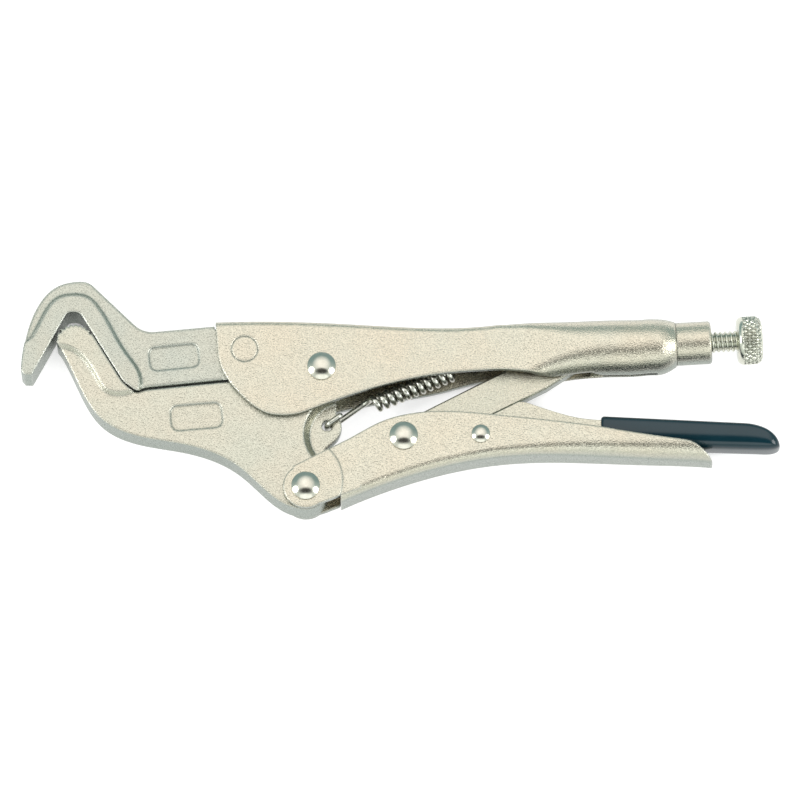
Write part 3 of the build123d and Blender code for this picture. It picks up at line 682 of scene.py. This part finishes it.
# %% Finishes on the small pieces
dress(rivet_head, "main_rivet", "tail_rivet", "toggle_rivet", "lever_rivet")
dress(turned, "adjusting_screw")
dress(drawn, "return_spring")
dress(dipped, "lever_grip")
new_pieces = ((screw_thread, turned), (screw_knob, turned), (spring_wire, drawn), (grip_coat, dipped))
for piece, material in new_pieces:
    piece.data.materials.append(material)
print("rivets, screw, spring and coat finished")

# %% [markdown]
# The table is white. It is lit like any other surface, so it keeps the tool's soft shadow, and for
# rays from the camera or from shiny metal it also glows, so that it reads as white. More light could
# whiten it too, but would bleach the tool. The glow fades in narrow slits and holes, where a real table
# would lie in the dark.

# %% Table
TABLE_SIZE = 6.0
TABLE_DIM, TABLE_PALE, TABLE_GRAIN = (0.38, 0.38, 0.38), (0.40, 0.40, 0.40), 40.0
TABLE_GLOW, SHINE_SHARE = 0.90, 0.84
SLIT_REACH, SLIT_SHARE, SLIT_SAMPLES = 0.015, 0.15, 8
SLIT_CLOSED, SLIT_OPEN = 0.08, 0.28


def number(tree, operation, first, second):
    """Number that an operation makes of two sockets, such as their product or the larger one."""
    node = tree.nodes.new("ShaderNodeMath")
    node.operation = operation
    tree.links.new(first, node.inputs[0])
    tree.links.new(second, node.inputs[1])
    return node.outputs[0]


def white_table(name):
    """Pale diffuse surface, plus a glow for the rays that show it: TABLE_GLOW x (1 for camera and
    transmission rays, SHINE_SHARE for glossy ones), down to SLIT_SHARE of that in slits."""
    material, tree, shader = new_finish(name)
    tree.nodes.remove(shader)
    diffuse = tree.nodes.new("ShaderNodeBsdfDiffuse")
    grain = noise(tree, TABLE_GRAIN, 2.0, 0.5)
    tree.links.new(mix(tree, grain, TABLE_DIM, TABLE_PALE), diffuse.inputs["Color"])
    rays = tree.nodes.new("ShaderNodeLightPath").outputs
    shiny = ramp(tree, rays["Is Glossy Ray"], 0.0, 1.0, 0.0, SHINE_SHARE)
    seen = number(tree, "MAXIMUM", rays["Is Camera Ray"], shiny)
    seen = number(tree, "MAXIMUM", seen, rays["Is Transmission Ray"])
    open_sky = tree.nodes.new("ShaderNodeAmbientOcclusion")
    open_sky.samples = SLIT_SAMPLES
    open_sky.inputs["Distance"].default_value = SLIT_REACH
    free = open_sky.outputs["AO"]
    level = ramp(tree, free, SLIT_CLOSED, SLIT_OPEN, SLIT_SHARE * TABLE_GLOW, TABLE_GLOW)
    glow = tree.nodes.new("ShaderNodeEmission")
    tree.links.new(number(tree, "MULTIPLY", seen, level), glow.inputs["Strength"])
    total = tree.nodes.new("ShaderNodeAddShader")
    tree.links.new(diffuse.outputs[0], total.inputs[0])
    tree.links.new(glow.outputs[0], total.inputs[1])
    tree.links.new(total.outputs[0], tree.nodes["Material Output"].inputs["Surface"])
    return material


half = TABLE_SIZE / 2
table_mesh = bpy.data.meshes.new("table")
corners = [(-half, -half, 0), (half, -half, 0), (half, half, 0), (-half, half, 0)]
table_mesh.from_pydata(corners, [], [(0, 1, 2, 3)])
table = bpy.data.objects.new("table", table_mesh)
scene.collection.objects.link(table)
table.data.materials.append(white_table("white_table"))
print("table", TABLE_SIZE, "m wide")

# %% [markdown]
# Plated steel shows little more than what stands around it, so the room is the larger part of its look.
# The world is a small studio: a soft bright ceiling that leans to the rear, pale walls in front and
# darker ones behind, and a dark oval where the viewer stands, which darkens the bends that turn towards
# the viewer. A lamp overhead could take the ceiling's place, but its edge would show in the metal.

# %% Room light
CEILING_LEAN, CEILING_CORE, CEILING_EDGE = math.radians(20), math.radians(14), math.radians(46)
CEILING = (1.29, 1.28, 1.23)
FRONT_WALL, REAR_WALL = (0.74, 0.80, 0.76), (0.26, 0.375, 0.38)
FRONT_END, REAR_END, OVERHEAD = -0.5, 0.6, 0.3
VIEWER_AT, VIEWER_SHAPE = (0.0, -0.29, 0.0), (0.45, 1.0, 0.0)
VIEWER_CORE, VIEWER_EDGE, VIEWER_SHADE = 0.18, 0.31, 0.05

scene.view_settings.view_transform = "Standard"
world = bpy.data.worlds.new("studio")
world.use_nodes = True
scene.world = world
sky = world.node_tree


def against(operation, direction, fixed):
    """Vector node of the sky that sets a direction against a fixed vector by an operation."""
    node = sky.nodes.new("ShaderNodeVectorMath")
    node.operation = operation
    node.inputs[1].default_value = fixed
    sky.links.new(direction, node.inputs[0])
    return node.outputs


direction = sky.nodes.new("ShaderNodeTexCoord").outputs["Generated"]
axes = sky.nodes.new("ShaderNodeSeparateXYZ")
sky.links.new(direction, axes.inputs[0])
walls = mix(sky, ramp(sky, axes.outputs["Y"], FRONT_END, REAR_END), FRONT_WALL, REAR_WALL)
zenith = (0.0, math.sin(CEILING_LEAN), math.cos(CEILING_LEAN))
height = against("DOT_PRODUCT", direction, zenith)["Value"]
lit = mix(sky, ramp(sky, height, math.cos(CEILING_EDGE), math.cos(CEILING_CORE)), walls, CEILING)
squeezed = against("MULTIPLY", direction, VIEWER_SHAPE)["Vector"]
off_viewer = against("DISTANCE", squeezed, VIEWER_AT)["Value"]
viewer = ramp(sky, off_viewer, VIEWER_CORE, VIEWER_EDGE, VIEWER_SHADE, 1.0)
overhead = mix(sky, ramp(sky, axes.outputs["Z"], 0.0, OVERHEAD), (1.0, 1.0, 1.0), viewer)
sky.links.new(times(sky, lit, overhead), sky.nodes["Background"].inputs["Color"])
sky.nodes["Background"].inputs["Strength"].default_value = 1.0
print("studio: bright ceiling, pale front wall, darker rear wall, dark oval for the viewer")

# %% [markdown]
# Three lamps add what the room lacks. A broad weak box in front fills the sides that face the viewer,
# and a smaller bright box on the left and one on the right put white glints on the rivets and the edges.
# They are area lamps with oval faces; a point lamp would do it too, but with hard shadows.

# %% Panels
TARGET = Vector((25.84, -9.41, MID)) * MM
PANEL_DISTANCE = 1.6


def aim(thing, away, distance):
    """Stand a lamp or a camera at target + distance x away, turned to face the target."""
    thing.location = TARGET + away * distance
    thing.rotation_euler = (-away).to_track_quat("-Z", "Y").to_euler()
    scene.collection.objects.link(thing)


def panel(name, lean, bearing, size, radiance):
    """Oval box that faces the tool, lean degrees from straight up towards a bearing from +Y:
    power = pi x radiance x area, with area = pi / 4 x width x height, so its face has that radiance."""
    lean, bearing = math.radians(lean), math.radians(bearing)
    light = bpy.data.lights.new(name, "AREA")
    light.shape = "ELLIPSE"
    light.size, light.size_y = size
    light.energy = math.pi * radiance * math.pi / 4 * size[0] * size[1]
    lamp = bpy.data.objects.new(name, light)
    lamp.visible_camera = False
    flat = math.sin(lean)
    away = Vector((flat * math.sin(bearing), flat * math.cos(bearing), math.cos(lean)))
    aim(lamp, away, PANEL_DISTANCE)


panel("front_box", 48.0, 180.0, (1.9, 0.75), 0.55)
panel("left_box", 55.0, -98.0, (0.75, 0.85), 4.2)
panel("right_box", 54.0, 102.0, (0.75, 0.85), 4.2)

# %% [markdown]
# The photograph looks down on the tool from 74 degrees, through a long lens: lines that run away from
# the viewer hardly converge. An orthographic camera would come close, but it would lose even that. So
# the camera stands three metres off, and the lens follows from the width of the view, 264 mm: focal
# length = sensor width x distance / view width.

# %% Camera
VIEW_WIDTH, VIEW_DISTANCE, VIEW_ELEVATION = 264.0, 3.0, math.radians(74.0)
camera_data = bpy.data.cameras.new("camera")
camera_data.sensor_width = 36.0
camera_data.lens = camera_data.sensor_width * VIEW_DISTANCE / (VIEW_WIDTH * MM)
camera_data.clip_end = 20.0
camera = bpy.data.objects.new("camera", camera_data)
aim(camera, Vector((0.0, -math.cos(VIEW_ELEVATION), math.sin(VIEW_ELEVATION))), VIEW_DISTANCE)
scene.camera = camera
print("lens", round(camera_data.lens, 1), "mm")
